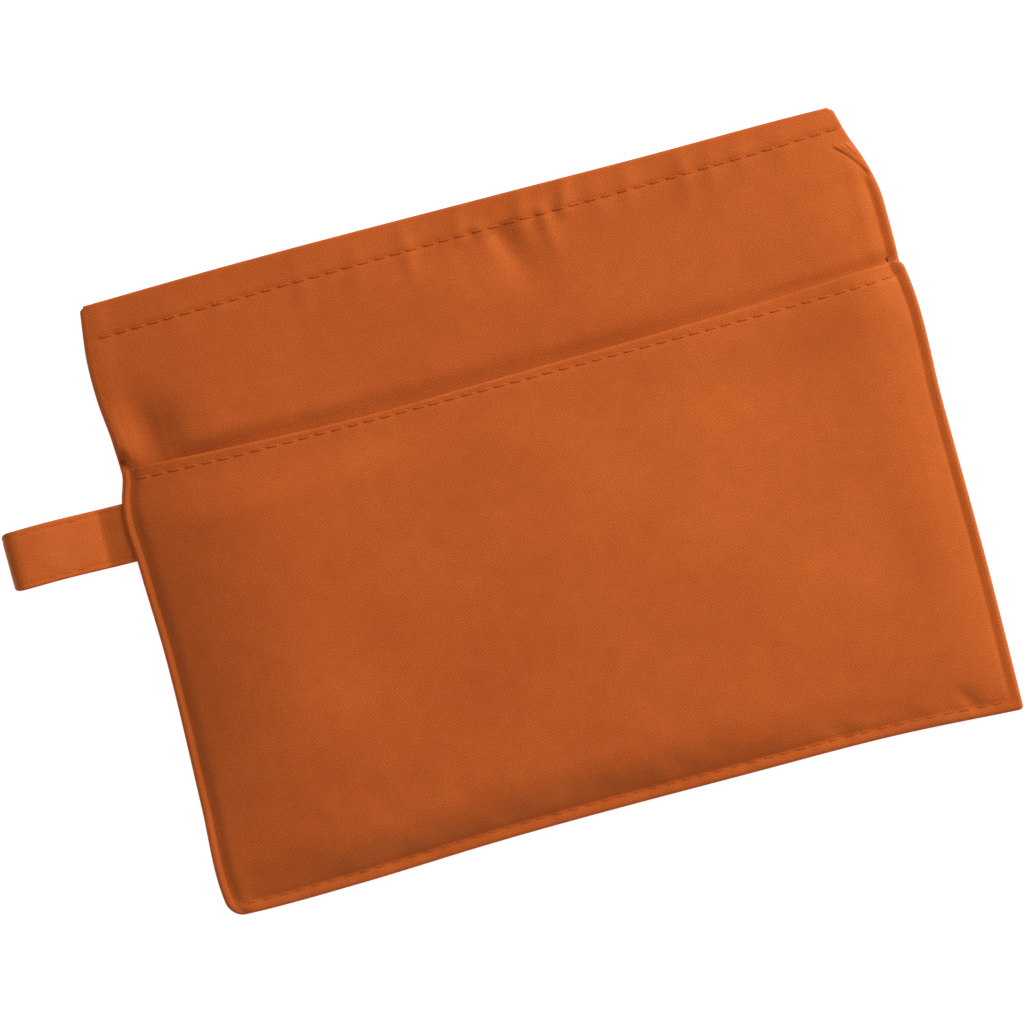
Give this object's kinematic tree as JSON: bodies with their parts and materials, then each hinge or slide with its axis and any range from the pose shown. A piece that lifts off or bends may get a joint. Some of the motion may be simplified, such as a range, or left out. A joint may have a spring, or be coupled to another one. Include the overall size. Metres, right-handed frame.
{
  "type": "sandbag",
  "caption": "Flat rectangular fabric pouch filled with bagged sand, with a fold-over filling sleeve, a front tuck pocket and a side hanging loop.",
  "frame": {"origin": "middle of the pouch's flat back, on the surface that it rests on, midway between the side seams and between the bottom seam and the mouth", "axes": "+X across the pouch, away from the hanging loop; +Y from the bottom seam to the mouth; +Z out of the front pocket"},
  "size_m": [0.2315, 0.154, 0.0144],
  "materials": {
    "cloth": "burnt orange satin-faced twill",
    "thread": "tone-on-tone sewing thread",
    "liner_film": "milky polyethylene film",
    "sand": "dry graded sand"
  },
  "bodies": {
    "pouch": {"back_panel": "cloth", "inner_panel": "cloth", "front_panel": "cloth", "pocket_hem": "cloth", "left_seam": "cloth", "right_seam": "cloth", "bottom_seam": "cloth", "left_seam_thread": "thread", "right_seam_thread": "thread", "bottom_seam_thread": "thread", "pocket_hem_thread": "thread", "loop_tail": "cloth", "liner_back": "liner_film", "liner_front": "liner_film", "sand_fill": "sand"},
    "sleeve": {"sleeve_back": "cloth", "sleeve_front": "cloth", "mouth_hem_back": "cloth", "mouth_hem_front": "cloth", "sleeve_left_seam": "cloth", "sleeve_right_seam": "cloth", "mouth_hem_thread": "thread", "sleeve_seam_thread": "thread"},
    "loop": {"hang_loop": "cloth", "loop_thread": "thread"}
  },
  "joints": [
    {"name": "sleeve_fold", "type": "hinge", "parent": "pouch", "child": "sleeve", "pos_m": [0, 0.037, 0.012], "axis": [1, 0, 0], "range_deg": [0, 165]},
    {"name": "loop_swing", "type": "hinge", "parent": "pouch", "child": "loop", "pos_m": [-0.1011, 0.019, 0.00385], "axis": [0, 1, 0], "range_deg": [-80, 80]}
  ]
}
